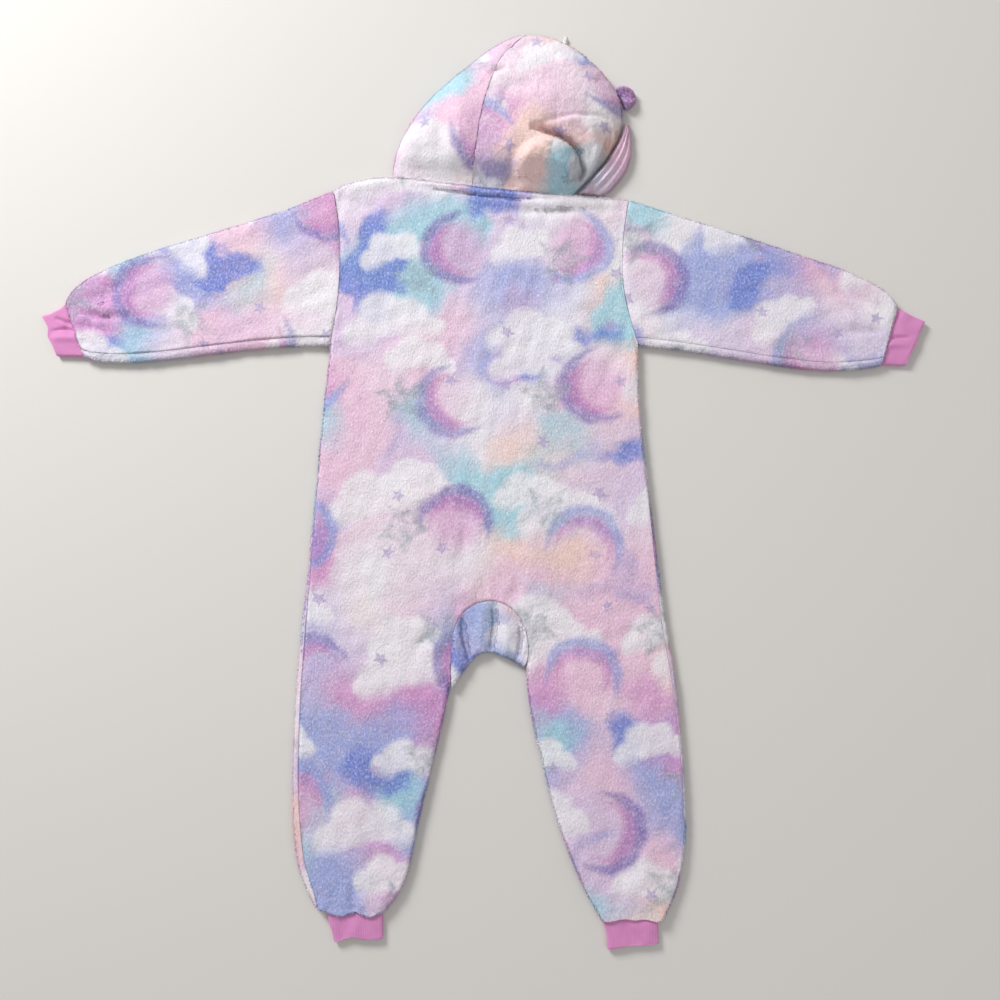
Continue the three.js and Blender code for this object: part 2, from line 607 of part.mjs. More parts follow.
// The folded front of the hood and the layers under the panels, as one solid: a flat layer that shows at
// the edge, with a rounded heap on it.
function hoodLayers() {
  const { flange, under_crest, least, heap } = HOOD_LAYERS;
  const [start, end] = [heap[0], heap[heap.length - 1]];
  const loops = HOOD.slice(0, -1).map((section) => {
    const left = mixPoint(section.left, section.right, HOOD_LAYERS.left);
    const right = mixPoint(section.left, section.right, HOOD_LAYERS.right);
    const rise = Math.max(section.crest - under_crest, least);
    const top = heap.map((t) => {
      const [x, y] = hoodPoint(section, t, 0);
      return [x, y, flange + rise * hoodArch((t - start) / (end - start))];
    });
    const middle = mixPoint(left, right, 0.5);
    const rightRim = [[...right, 0], [...right, flange]];
    const leftRim = [[...left, flange], [...left, 0]];
    return [[...middle, 0], ...rightRim, ...top.reverse(), ...leftRim];
  });
  return loft(loops);
}

// Horn: a stuffed cone, pressed flat by the hood and lying on the floor.
function hornGeometry(grow = 0) {
  const { base, tip, base_radius, tip_radius, squash, sides, rounding } = HORN;
  const length = Math.hypot(tip[0] - base[0], tip[1] - base[1]);
  const along = [(tip[0] - base[0]) / length, (tip[1] - base[1]) / length];
  const stations = [-grow, 0.25 * length, 0.5 * length, 0.75 * length, length - rounding, length + grow];
  const loops = stations.map((distance, i) => {
    const taper = mix(base_radius, tip_radius, THREE.MathUtils.clamp(distance / length, 0, 1));
    const radius = (i === stations.length - 1 ? taper * 0.5 : taper) + grow;
    const centre = [base[0] + along[0] * distance, base[1] + along[1] * distance];
    return Array.from({ length: sides }, (_, k) => {
      const angle = 2 * Math.PI * k / sides - Math.PI / 2 + Math.PI / sides;
      const sideways = radius * Math.cos(angle) / Math.cos(Math.PI / sides);
      const height = (taper + radius * Math.sin(angle) / Math.cos(Math.PI / sides)) * squash;
      return [centre[0] - along[1] * sideways, centre[1] + along[0] * sideways, height];
    });
  });
  return loft(loops);
}

// A flat leaf: the ear that lies hidden under the hood.
function leafGeometry({ base, tip, half, thick }, grow = 0) {
  const outline = [0, 0.15, 0.4, 0.7, 0.9, 1];
  const length = Math.hypot(tip[0] - base[0], tip[1] - base[1]);
  const along = [(tip[0] - base[0]) / length, (tip[1] - base[1]) / length];
  const loops = outline.map((t) => {
    const width = half * Math.sqrt(Math.max(1 - (1.25 * t - 0.25) ** 2, 0.03)) + grow;
    const [x, y] = mixPoint(base, tip, t + (2 * t - 1) * grow / length);
    const side = (w, z) => [x - along[1] * w, y + along[0] * w, z];
    return [side(0, -grow), side(width, -grow), side(width, thick * 0.6), side(width * 0.6, thick + grow),
      side(-width * 0.6, thick + grow), side(-width, thick * 0.6), side(-width, -grow)];
  });
  return loft(loops);
}

const CLEARANCE = 0.6;         // the hidden layers lie this far off the horn and the ear under them
const heap = asManifold(hoodLayers())
  .subtract(asManifold(hornGeometry(CLEARANCE)))
  .subtract(asManifold(leafGeometry(LEFT_EAR, CLEARANCE)));
add('hood_layers', asGeometry(heap), 'fleece');
add('horn', hornGeometry(), 'white_plush');
add('ear_left', leafGeometry(LEFT_EAR), 'fleece');

// The other ear stands out from the hood's edge, cupped along its middle.
const EAR_PROFILE = [          // share of the way from lower to upper, share of the height
  { across: 0.5, up: 0 }, { across: 0.1, up: 0 }, { across: 0, up: 0.5 }, { across: 0.15, up: 1 },
  { across: 0.5, up: 0.6 }, { across: 0.85, up: 1 }, { across: 1, up: 0.5 }, { across: 0.9, up: 0 },
];
const earLoops = RIGHT_EAR.map(({ lower, upper, height }) => {
  return EAR_PROFILE.map(({ across: t, up }) => [...mixPoint(lower, upper, t), up * height]);
});
add('ear_right', loft(earLoops), 'fleece');

// The gathered hem of the face opening: three soft rolls beside the right panel.
const hemLoops = HEM.map(({ inner, outer, height }) => {
  const top = HEM_PROFILE.map(({ across: t, up }) => [...mixPoint(inner, outer, t), up * height]);
  const middle = mixPoint(inner, outer, 0.5);
  return [[...middle, 0], [...outer, 0], ...top.reverse(), [...inner, 0]];
});
add('hood_hem', loft(hemLoops), 'fleece');

// ---- zip ----------------------------------------------------------------------------------------

const zipTilt = Math.atan2(ZIP.x_bottom - ZIP.x_top, ZIP.top_y - ZIP.bottom_y);

// A box along the zip, from y = from to y = to, its middle `aside` of the zip's line.
function zipStrip(from, to, width, bottom, thick, aside = 0) {
  const geometry = new THREE.BoxGeometry(width, to - from, thick);
  const y = (from + to) / 2;
  geometry.translate(aside, 0, bottom + thick / 2);
  geometry.rotateZ(zipTilt);
  geometry.translate(zipX(y), y, 0);
  return geometry;
}

const { tape, teeth } = ZIP;
const tapeAside = teeth.width / 2 + SEAM + tape.width / 2;
const chainEnd = ZIP.slider_y + 1;
const tapeEnd = ZIP.bottom_y + 3;
const teethEnd = ZIP.bottom_y + 6;
const tapeStrip = (aside) => zipStrip(tapeEnd, ZIP.top_y, tape.width, tape.z, tape.thick, aside);
add('zip_tape_left', tapeStrip(-tapeAside), 'zip_tape');
add('zip_tape_right', tapeStrip(tapeAside), 'zip_tape');
add('zip_teeth', zipStrip(teethEnd, chainEnd, teeth.width, teeth.z, teeth.thick), 'zip_teeth');

// Slider: two plates joined by a post past the end of the teeth, and a bail under the lower plate.
const lowerPlate = teeth.z - SEAM - ZIP.plate;
const upperPlate = teeth.z + teeth.thick + SEAM;
const sliderFrom = ZIP.slider_y - ZIP.slider_length / 2;
const sliderTo = ZIP.slider_y + ZIP.slider_length / 2;
const { bail, pull } = ZIP;
const [bailFrom, bailTo] = [ZIP.slider_y - bail.reach, ZIP.slider_y + bail.reach];
const bailHeight = lowerPlate + ZIP.plate / 4 - bail.z;   // its legs run a little way into the plate
const sliderParts = [
  zipStrip(sliderFrom, sliderTo, ZIP.slider_width, lowerPlate, ZIP.plate),
  zipStrip(sliderFrom, sliderTo, ZIP.slider_width, upperPlate, ZIP.plate),
  zipStrip(chainEnd + SEAM, sliderTo, teeth.width - 1, lowerPlate, upperPlate + ZIP.plate - lowerPlate),
  zipStrip(bailFrom, bailFrom + bail.leg, bail.width, bail.z, bailHeight),
  zipStrip(bailTo - bail.leg, bailTo, bail.width, bail.z, bailHeight),
  zipStrip(bailFrom, bailTo, bail.width, bail.z, bail.thick),
];
const slider = sliderParts.map(asManifold).reduce((whole, piece) => whole.add(piece));
add('zip_slider', asGeometry(slider), 'zip_metal');

// Pull: a tab with an eye at its top end, turning on its cross bar inside the bail.
const barHalf = pull.thick / 2;
const tabHalf = pull.width / 2;
const eyeHalf = bail.width / 2 + pull.eye_play;
const pullShape = new THREE.Shape();
pullShape.moveTo(-tabHalf, barHalf);
pullShape.lineTo(-tabHalf - pull.flare, pull.corner - pull.length);
pullShape.lineTo(-tabHalf + pull.point, -pull.length);
pullShape.lineTo(tabHalf - pull.point, -pull.length);
pullShape.lineTo(tabHalf + pull.flare, pull.corner - pull.length);
pullShape.lineTo(tabHalf, barHalf);
pullShape.closePath();
const eye = new THREE.Path();
eye.moveTo(-eyeHalf, -barHalf);
eye.lineTo(eyeHalf, -barHalf);
eye.lineTo(eyeHalf, -pull.eye_length);
eye.lineTo(-eyeHalf, -pull.eye_length);
eye.closePath();
pullShape.holes.push(eye);
const pullGeometry = new THREE.ExtrudeGeometry(pullShape, { depth: pull.thick, bevelEnabled: false });
pullGeometry.translate(0, 0, ZIP.hinge_z - barHalf);
pullGeometry.rotateZ(zipTilt);
pullGeometry.translate(zipX(ZIP.slider_y), ZIP.slider_y, 0);
add('zip_pull', pullGeometry, 'zip_metal');

export default garment;
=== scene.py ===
"""A child's suit in printed plush fleece, with a hood, horn and ears, lying flat with its back up."""

import math

import bmesh
import bpy
import numpy as np
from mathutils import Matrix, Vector, kdtree


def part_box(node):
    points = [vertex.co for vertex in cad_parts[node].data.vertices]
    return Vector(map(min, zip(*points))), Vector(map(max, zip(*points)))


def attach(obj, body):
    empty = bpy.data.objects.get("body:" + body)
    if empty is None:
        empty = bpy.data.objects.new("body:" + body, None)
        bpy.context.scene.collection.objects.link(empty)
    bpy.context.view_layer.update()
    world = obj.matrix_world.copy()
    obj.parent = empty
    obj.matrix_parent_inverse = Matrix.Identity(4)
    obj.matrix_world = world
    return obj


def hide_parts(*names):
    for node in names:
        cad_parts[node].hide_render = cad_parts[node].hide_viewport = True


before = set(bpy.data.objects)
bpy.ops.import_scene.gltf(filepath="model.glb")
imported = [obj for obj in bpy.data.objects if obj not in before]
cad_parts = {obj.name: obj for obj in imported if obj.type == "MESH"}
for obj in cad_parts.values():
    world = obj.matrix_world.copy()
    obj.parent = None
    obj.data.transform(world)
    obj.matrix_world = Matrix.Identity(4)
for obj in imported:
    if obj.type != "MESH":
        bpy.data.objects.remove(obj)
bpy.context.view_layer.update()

# ----------------------------------------------------------------------------------------------------
# The room: a plain pale floor, one large soft light beyond the hood on the left and a weak fill. The
# camera looks almost straight down at the suit, from a little towards the feet.
# ----------------------------------------------------------------------------------------------------

floor_half = 6.0
floor_top = -0.0002
floor_mesh = bpy.data.meshes.new("floor")
floor_mesh.from_pydata([(-floor_half, -floor_half, floor_top), (floor_half, -floor_half, floor_top),
                        (floor_half, floor_half, floor_top), (-floor_half, floor_half, floor_top)],
                       [], [(0, 1, 2, 3)])
floor = bpy.data.objects.new("floor", floor_mesh)
bpy.context.scene.collection.objects.link(floor)
floor_finish = bpy.data.materials.new("pale floor")
floor_finish.use_nodes = True
floor_shader = floor_finish.node_tree.nodes["Principled BSDF"]
floor_shader.inputs["Base Color"].default_value = (0.70, 0.68, 0.65, 1)
floor_shader.inputs["Roughness"].default_value = 0.7
floor_mesh.materials.append(floor_finish)

camera_tilt = math.radians(5.8)
camera_distance = 1.13
aim = Vector((0.019, -0.0327, 0))
camera_data = bpy.data.cameras.new("camera")
camera_data.lens = 36
camera_data.sensor_width = 36
camera = bpy.data.objects.new("camera", camera_data)
camera.location = aim + camera_distance * Vector((0, -math.sin(camera_tilt), math.cos(camera_tilt)))
camera.rotation_euler = (camera_tilt, 0, 0)
bpy.context.scene.collection.objects.link(camera)
bpy.context.scene.camera = camera


def soft_light(name, place, size, power):
    data = bpy.data.lights.new(name, "AREA")
    data.shape = "DISK"
    data.size = size
    data.energy = power
    light = bpy.data.objects.new(name, data)
    light.location = place
    light.rotation_euler = (-Vector(place)).to_track_quat("-Z", "Y").to_euler()
    bpy.context.scene.collection.objects.link(light)


soft_light("window", (-1.6, 1.8, 1.5), 1.0, 72)
soft_light("fill", (1.4, -1.0, 2.4), 2.4, 10)
world = bpy.data.worlds.new("room")
world.use_nodes = True
room_light = world.node_tree.nodes["Background"].inputs
room_light["Color"].default_value = (1, 0.995, 0.985, 1)
room_light["Strength"].default_value = 0.42
bpy.context.scene.world = world
bpy.context.scene.view_settings.view_transform = "Standard"

# ----------------------------------------------------------------------------------------------------
# Plush fleece: all the panels are cut from one polyester fleece with a short brushed pile, printed
# before it was cut with a pastel wash of clouds, crescent moons and stars.
# ----------------------------------------------------------------------------------------------------


class Flow:
    """A number, colour or vector that runs through a material's nodes."""

    def __init__(self, tree, socket=None):
        self.tree = tree
        self.socket = socket

    def node(self, kind, sockets=(), output=0, stops=(), **settings):
        """Any node: its settings first, then the values or flows of its sockets, by name or number."""
        made = self.tree.nodes.new(kind)
        for key, value in settings.items():
            setattr(made, key, value)
        for index, (at, colour) in enumerate(stops):
            ramp = made.color_ramp.elements
            element = ramp[index] if index < len(ramp) else ramp.new(at)
            element.position = at
            element.color = (*colour, 1)
        for name, value in sockets.items() if isinstance(sockets, dict) else enumerate(sockets):
            if isinstance(value, Flow):
                self.tree.links.new(value.socket, made.inputs[name])
            else:
                made.inputs[name].default_value = value
        return Flow(self.tree, made.outputs[output])

    def maths(self, operation, *values):
        return self.node("ShaderNodeMath", values, operation=operation)

    def __add__(self, other):
        return self.maths("ADD", self, other)

    def __sub__(self, other):
        return self.maths("SUBTRACT", self, other)

    def __rsub__(self, other):
        return self.maths("SUBTRACT", other, self)

    def __mul__(self, other):
        return self.maths("MULTIPLY", self, other)

    __radd__ = __add__
    __rmul__ = __mul__

    def vector(self, operation, *others, output=0):
        return self.node("ShaderNodeVectorMath", (self, *others), output, operation=operation)

    def part(self, index):
        return self.node("ShaderNodeSeparateXYZ", [self], index)

    def between(self, low, high):
        """0 below low, 1 above high, and a smooth step between them."""
        return self.node("ShaderNodeMapRange", [self, low, high], interpolation_type="SMOOTHSTEP")

    def painted(self, colour, share):
        """This colour with another laid over it by a share."""
        return self.node("ShaderNodeMix", {0: share, 6: self, 7: (*colour, 1)}, 2, data_type="RGBA")

    def shaded(self, amount):
        """This colour made lighter or darker by a number."""
        return self.vector("MULTIPLY", amount.node("ShaderNodeCombineXYZ", [amount, amount, amount]))

    def noise(self, size, detail=2.0, roughness=0.5, shift=0.0):
        """Noise whose features are about this large, in metres."""
        place = self.vector("ADD", (shift, shift * 0.7, shift * 0.3))
        return self.node("ShaderNodeTexNoise", {
            "Vector": place, "Scale": 1 / size, "Detail": detail, "Roughness": roughness})

    def into(self, shader, name):
        self.tree.links.new(self.socket, shader.inputs[name])


def new_material(name, **shader_values):
    material = bpy.data.materials.new(name)
    material.use_nodes = True
    shader = material.node_tree.nodes["Principled BSDF"]
    for key, value in shader_values.items():
        shader.inputs[key.replace("_", " ")].default_value = value
    return material, Flow(material.node_tree), shader


def dye(red, green, blue):
    """A colour as the eye grades it, 0 to 255, turned into the light that it reflects."""
    return tuple(((c / 255 + 0.055) / 1.055) ** 2.4 for c in (red, green, blue))


def scattered(place, size, seed, play, swing):
    """Where a point lies from the middle of its motif: one motif in each square of this size, moved and
    turned by chance within this play and swing. Also gives the chance colour that goes with it."""
    scaled = place.vector("MULTIPLY", (1 / size, 1 / size, 0)).vector("ADD", (seed * 3.7, seed * 1.9, 0))
    corner = scaled.vector("FLOOR")
    chance = corner.node("ShaderNodeTexWhiteNoise", [corner.vector("ADD", (0, 0, seed))], 1,
                         noise_dimensions="3D")
    moved = chance.vector("SUBTRACT", (0.5, 0.5, 0.5)).vector("MULTIPLY", (play, play, 0))
    local = scaled.vector("SUBTRACT", corner).vector("SUBTRACT", (0.5, 0.5, 0)).vector("SUBTRACT", moved)
    local = local.vector("MULTIPLY", (size, size, 0))
    turn = chance.part(2) * (2 * swing) - swing
    turned = local.node("ShaderNodeVectorRotate", {"Vector": local, "Angle": turn}, rotation_type="Z_AXIS")
    return turned, chance


def crescent(place, radius):
    """1 inside a crescent moon, 0 outside, soft between."""
    outer = place.vector("LENGTH", output=1)
    inner = place.vector("SUBTRACT", (0, -0.42 * radius, 0)).vector("LENGTH", output=1)
    return (1 - outer.between(radius * 0.88, radius * 1.08)) * inner.between(radius * 0.78, radius * 0.98)


def star(place, radius):
    """1 inside a five-pointed star, 0 outside, soft between."""
    fifth = 2 * math.pi / 5
    angle = place.maths("ARCTAN2", place.part(0), place.part(1)) + 2 * math.pi + fifth / 2
    folded = angle.maths("MODULO", angle, fifth) - fifth / 2
    length = place.vector("LENGTH", output=1)
    along = length * folded.maths("COSINE", folded)
    aside = length * folded.maths("SINE", folded.maths("ABSOLUTE", folded))
    notch = 0.46 * Vector((math.cos(fifth / 2), math.sin(fifth / 2)))
    across = Vector((notch.y, 1 - notch.x)).normalized()
    reach = along * across.x + aside * across.y
    return 1 - reach.between(radius * (across.x - 0.1), radius * (across.x + 0.08))


def cloud(place, radius):
    """1 inside a cloud with a round-topped edge, fading out below."""
    puffs = [(-0.95, -0.15, 0.55), (-0.35, 0.3, 0.7), (0.4, 0.2, 0.62), (0.98, -0.2, 0.45)]
    inside = None
    for x, y, size in puffs:
        away = place.vector("SUBTRACT", (x * radius, y * radius, 0)).vector("LENGTH", output=1)
        puff = 1 - away.between(size * radius * 0.72, size * radius * 1.15)
        inside = puff if inside is None else inside.maths("MAXIMUM", inside, puff)
    return inside * place.part(1).between(-0.75 * radius, -0.1 * radius)


wash = [
    # colour, size of the blots, where a blot starts and is full, strength, shift of its noise
    (dye(240, 196, 222), 0.210, 0.40, 0.60, 0.95, 0.3),
    (dye(251, 216, 206), 0.180, 0.50, 0.64, 0.95, 2.1),
    (dye(220, 202, 236), 0.170, 0.50, 0.62, 0.70, 3.6),
    (dye(158, 172, 228), 0.165, 0.51, 0.66, 0.95, 5.2),
    (dye(168, 216, 232), 0.130, 0.55, 0.69, 0.95, 7.7),
    (dye(218, 150, 206), 0.140, 0.57, 0.70, 0.90, 4.4),
    (dye(112, 134, 216), 0.095, 0.62, 0.72, 0.90, 9.1),
]
fleece, flow, shader = new_material("plush fleece", Roughness=0.95, Sheen_Weight=0.3,
                                    Sheen_Roughness=0.5, Specular_IOR_Level=0.08)
place = flow.node("ShaderNodeAttribute", output=1, attribute_name="cut")
bleed = place.node("ShaderNodeTexNoise", {
    "Vector": place, "Scale": 26.0, "Detail": 2.5, "Roughness": 0.6}, 1)
spread = bleed.vector("SUBTRACT", (0.5, 0.5, 0.5))
wet_reach, damp_reach = 0.045, 0.016
wet = place.vector("ADD", spread.vector("MULTIPLY", (wet_reach, wet_reach, 0)))
damp = place.vector("ADD", spread.vector("MULTIPLY", (damp_reach, damp_reach, 0)))
dab = place.noise(0.011, 3, 0.65, 1.7)
soak = dab * 0.5 + 0.70
colour = place.node("ShaderNodeMix", {0: place.noise(0.16, 2), 6: (*dye(238, 232, 244), 1),
                                      7: (*dye(250, 245, 249), 1)}, 2, data_type="RGBA")
for tint, size, start, full, strength, shift in wash:
    colour = colour.painted(tint, wet.noise(size, 1, 0.4, shift).between(start, full) * soak * strength)
white, orchid, violet, periwinkle, rose = (
    dye(247, 243, 249), dye(226, 168, 214), dye(128, 108, 186), dye(146, 158, 222), dye(212, 142, 200))
silver, lilac = dye(150, 166, 176), dye(186, 168, 212)

for spacing, seed, radius in ((0.185, 3, 0.040), (0.140, 13, 0.029)):
    cloud_place, _ = scattered(damp, spacing, seed, 0.3, 0.25)
    colour = colour.painted(white, cloud(cloud_place, radius) * soak * 0.85)

moon_spacing, moon_radius = 0.158, 0.044
moon_place, moon_chance = scattered(damp, moon_spacing, 1, 0.26, 2.6)
moon_glow = 1 - moon_place.vector("LENGTH", output=1).between(0.014, 0.046)
colour = colour.painted(orchid, moon_glow * moon_chance.part(1).between(0.35, 0.6) * 0.7)
moon = crescent(moon_place, moon_radius) * (dab * 0.9 + 0.35)
violet_share = moon_chance.part(0).between(0.35, 0.5)
colour = colour.painted(violet, moon * violet_share * 0.85)
colour = colour.painted(periwinkle, moon * (1 - violet_share) * 0.85)
inner_moon = crescent(moon_place.vector("MULTIPLY", (1.35, 1.35, 1)), moon_radius)
colour = colour.painted(rose, inner_moon * 0.55)

star_spacing, star_radius = 0.140, 0.034
star_place, star_chance = scattered(damp.vector("ADD", (0.07, 0.05, 0)), star_spacing, 5, 0.34, 0.6)
stars = star(star_place, star_radius) * dab.between(0.25, 0.85)
colour = colour.painted(silver, stars * star_chance.part(1).between(0.12, 0.2) * 0.9)
small_spacing, small_radius = 0.062, 0.009
small_place, small_chance = scattered(damp, small_spacing, 9, 0.6, 0.9)
small_stars = star(small_place, small_radius) * small_chance.part(1).between(0.6, 0.65)
colour = colour.painted(lilac, small_stars * 0.7)

combed = place.vector("MULTIPLY", (1, 0.6, 1))
speckle = combed.noise(0.0022, 3, 0.8, 3.1)
# Painted shade: broad soft patches where the brushed nap turns to or from the light, darkening and
# lightening the colour together with the fibres' speckle.
nap_shade = place.noise(0.018, 2, 0.55, 6.4)
colour = colour.painted(dye(253, 250, 253), speckle.between(0.46, 0.72) * 0.42)
colour = colour.shaded(0.70 + speckle * 0.36 + nap_shade * 0.14)
colour.into(shader, "Base Color")
nap = combed.noise(0.0021, 3, 0.75, 2.2) + place.noise(0.007, 2, 0.5, 8.8) * 0.5
nap.node("ShaderNodeBump", {"Strength": 0.8, "Distance": 0.0021, "Height": nap}).into(shader, "Normal")

# ----------------------------------------------------------------------------------------------------
# Back: one panel from the neck fold to both ankles. It is sewn to the fronts along the sides and the
# inner legs, to the sleeves at the armholes and to the gusset, and each seam pulls the pile in a little.
# ----------------------------------------------------------------------------------------------------

mm = 0.001


def cut_out(node, levels, turn=0.0, shift=(0.0, 0.0), outside="up"):
    """A soft piece in the shape of a solid of the frame, much finer. Its attribute 'cut' says where each
    point lay on the flat cloth, and 'skin' which of its faces are the outer side: the upper or the lower
    of its two, the one round the other, or all of them on a solid piece."""
    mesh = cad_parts[node].data.copy()
    mesh.name = node + "_cloth"
    mesh.materials.clear()
    shape = bmesh.new()
    shape.from_mesh(mesh)
    bmesh.ops.remove_doubles(shape, verts=shape.verts, dist=0.01 * mm)
    bmesh.ops.join_triangles(shape, faces=shape.faces, angle_face_threshold=math.radians(25),
                             angle_shape_threshold=math.radians(60))
    crease = shape.edges.layers.float.new("crease_edge")
    side = shape.faces.layers.int.new("skin")
    cut_edge = math.radians(52)
    sharp = {edge for edge in shape.edges if edge.calc_face_angle(0) > cut_edge}
    for edge in sharp:
        edge[crease] = 1
    rim = []
    for edge in sharp:
        steps = max(2, round(edge.calc_length() / mm))
        rim += [edge.verts[0].co.lerp(edge.verts[1].co, step / steps) for step in range(steps)]
    left = set(shape.faces)
    sides = []
    while left:
        reached = [left.pop()]
        for face in reached:
            near = {other for edge in face.edges if edge not in sharp for other in edge.link_faces}
            reached += near & left
            left -= near
        sides.append(reached)
    sides = sorted(sides, key=lambda faces: -sum(face.calc_area() for face in faces))[:2]
    rank = {
        "up": lambda faces: max(face.calc_center_median().z for face in faces),
        "down": lambda faces: -min(face.calc_center_median().z for face in faces),
        "round": lambda faces: sum(face.calc_area() for face in faces),
    }
    outer = shape.faces if outside == "all" else max(sides, key=rank[outside])
    for face in outer:
        face[side] = 1
    shape.to_mesh(mesh)
    shape.free()
    piece = bpy.data.objects.new(node + "_cloth", mesh)
    bpy.context.scene.collection.objects.link(piece)
    fine = piece.modifiers.new("fine", "SUBSURF")
    fine.levels = fine.render_levels = levels
    finished = bpy.data.meshes.new_from_object(piece.evaluated_get(bpy.context.evaluated_depsgraph_get()))
    piece.modifiers.clear()
    piece.data = finished
    points = points_of(piece)
    cosine, sine = math.cos(turn), math.sin(turn)
    flat = np.stack([points[:, 0] * cosine - points[:, 1] * sine + shift[0],
                     points[:, 0] * sine + points[:, 1] * cosine + shift[1], points[:, 2]], 1)
    finished.attributes.new("cut", "FLOAT_VECTOR", "POINT").data.foreach_set("vector", flat.ravel())
    finished.shade_smooth()
    return piece, rim


def points_of(piece):
    points = np.empty(len(piece.data.vertices) * 3)
    piece.data.vertices.foreach_get("co", points)
    return points.reshape(-1, 3)


def outer_points(piece):
    """True for each point of the outer side, away from the piece's inner face."""
    mesh = piece.data
    skin = np.empty(len(mesh.polygons), int)
    mesh.attributes["skin"].data.foreach_get("value", skin)
    corners = np.empty(len(mesh.loops), int)
    mesh.loops.foreach_get("vertex_index", corners)
    sizes = np.empty(len(mesh.polygons), int)
    mesh.polygons.foreach_get("loop_total", sizes)
    outer = np.zeros(len(mesh.vertices), bool)
    outer[corners[np.repeat(skin, sizes) == 1]] = True
    return outer


def smoothstep(value, low, high):
    t = np.clip((value - low) / (high - low), 0, 1)
    return t * t * (3 - 2 * t)


def wave(points, size, seed):
    """Smooth uneven swells between about -1 and 1, from a few crossed waves."""
    chance = np.random.default_rng(seed)
    total = np.zeros(len(points))
    for _ in range(5):
        heading, phase = chance.uniform(0, 2 * math.pi, 2)
        pitch = size * chance.uniform(0.7, 1.5)
        along = points[:, 0] * math.cos(heading) + points[:, 1] * math.sin(heading)
        total += np.sin(along * 2 * math.pi / pitch + phase)
    return total / 3


def tufty(points, size, seed):
    """The pile's own unevenness between -1 and 1: chance heights on a square grid, smoothly joined."""
    heights = np.random.default_rng(seed).uniform(-1, 1, (128, 128))
    at = points[:, :2] / size + 1000
    corner = np.floor(at).astype(int)
    x, y = (smoothstep(at - corner, 0, 1)).T
    i, j = corner.T
    near = heights[i % 128, j % 128] * (1 - x) + heights[(i + 1) % 128, j % 128] * x
    far = heights[i % 128, (j + 1) % 128] * (1 - x) + heights[(i + 1) % 128, (j + 1) % 128] * x
    return near * (1 - y) + far * y


def crease_lift(points, creases):
    """How far creases lift each point: ridges, or troughs where the height is below 0, fading out at
    both ends. Sizes are millimetres."""
    x, y = points[:, 0] / mm, points[:, 1] / mm
    lift = np.zeros(len(points))
    for path, width, height in creases:
        lengths = [math.dist(a, b) for a, b in zip(path, path[1:])]
        away = np.full(len(points), 1e9)
        fade = np.zeros(len(points))
        run = 0
        for (ax, ay), (bx, by), length in zip(path, path[1:], lengths):
            t = np.clip(((x - ax) * (bx - ax) + (y - ay) * (by - ay)) / length**2, 0, 1)
            gap = np.hypot(x - ax - t * (bx - ax), y - ay - t * (by - ay))
            share = (run + t * length) / sum(lengths)
            nearer = gap < away
            away = np.where(nearer, gap, away)
            fade = np.where(nearer, np.sin(math.pi * share) ** 0.6, fade)
            run += length
        lift += height * fade * np.exp(-((away / width) ** 2))
    return lift * mm


def pinched(points, pinches):
    """Points moved by small tugs of the cloth: each has a place, a radius and a move."""
    for place, radius, move in pinches:
        away = np.hypot(points[:, 0] / mm - place[0], points[:, 1] / mm - place[1])
        points = points + np.exp(-((away / radius) ** 2))[:, None] * np.array(move) * mm
    return points


def settle(piece, rim, creases=(), swell=0.8, dip=0.3, reach=4.0, nap=0.3, seed=1, pinches=()):
    """Moves the outer side as the cloth lies: creases and slight swells on top, the pile's own
    unevenness everywhere, and a dip along every sewn edge. Sizes are millimetres."""
    mesh = piece.data
    points = pinched(points_of(piece), pinches)
    normals = np.empty(len(points) * 3)
    mesh.vertices.foreach_get("normal", normals)
    normals = normals.reshape(-1, 3)
    outer = outer_points(piece)
    tree = kdtree.KDTree(len(rim))
    for index, place in enumerate(rim):
        tree.insert(place, index)
    tree.balance()
    to_rim = np.full(len(points), 1.0)
    for index in np.flatnonzero(outer):
        to_rim[index] = tree.find(points[index])[2]
    sunk = dip * (1 - smoothstep(to_rim / mm, 0, reach)) * mm
    up = smoothstep(normals[:, 2], 0.15, 0.8) * outer
    swells = wave(points, 62 * mm, 3) + 0.7 * wave(points, 24 * mm, 8)
    lift = crease_lift(points, creases) + swell * swells * mm
    rough = (tufty(points, 4 * mm, seed) + 0.4 * tufty(points, 11 * mm, seed + 1)) * nap * mm
    points = points + normals * (outer * (rough - sunk))[:, None]
    points[:, 2] += up * lift * smoothstep(to_rim / mm, 0, reach)
    points[:, 2] = np.maximum(points[:, 2], 0)
    mesh.vertices.foreach_set("co", points.ravel())
    mesh.update()


def belongs(piece, slot, *nodes):
    """The piece is part of the suit, and stands for these nodes. The slot is not used."""
    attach(piece, "garment")
    if nodes:
        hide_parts(*nodes)


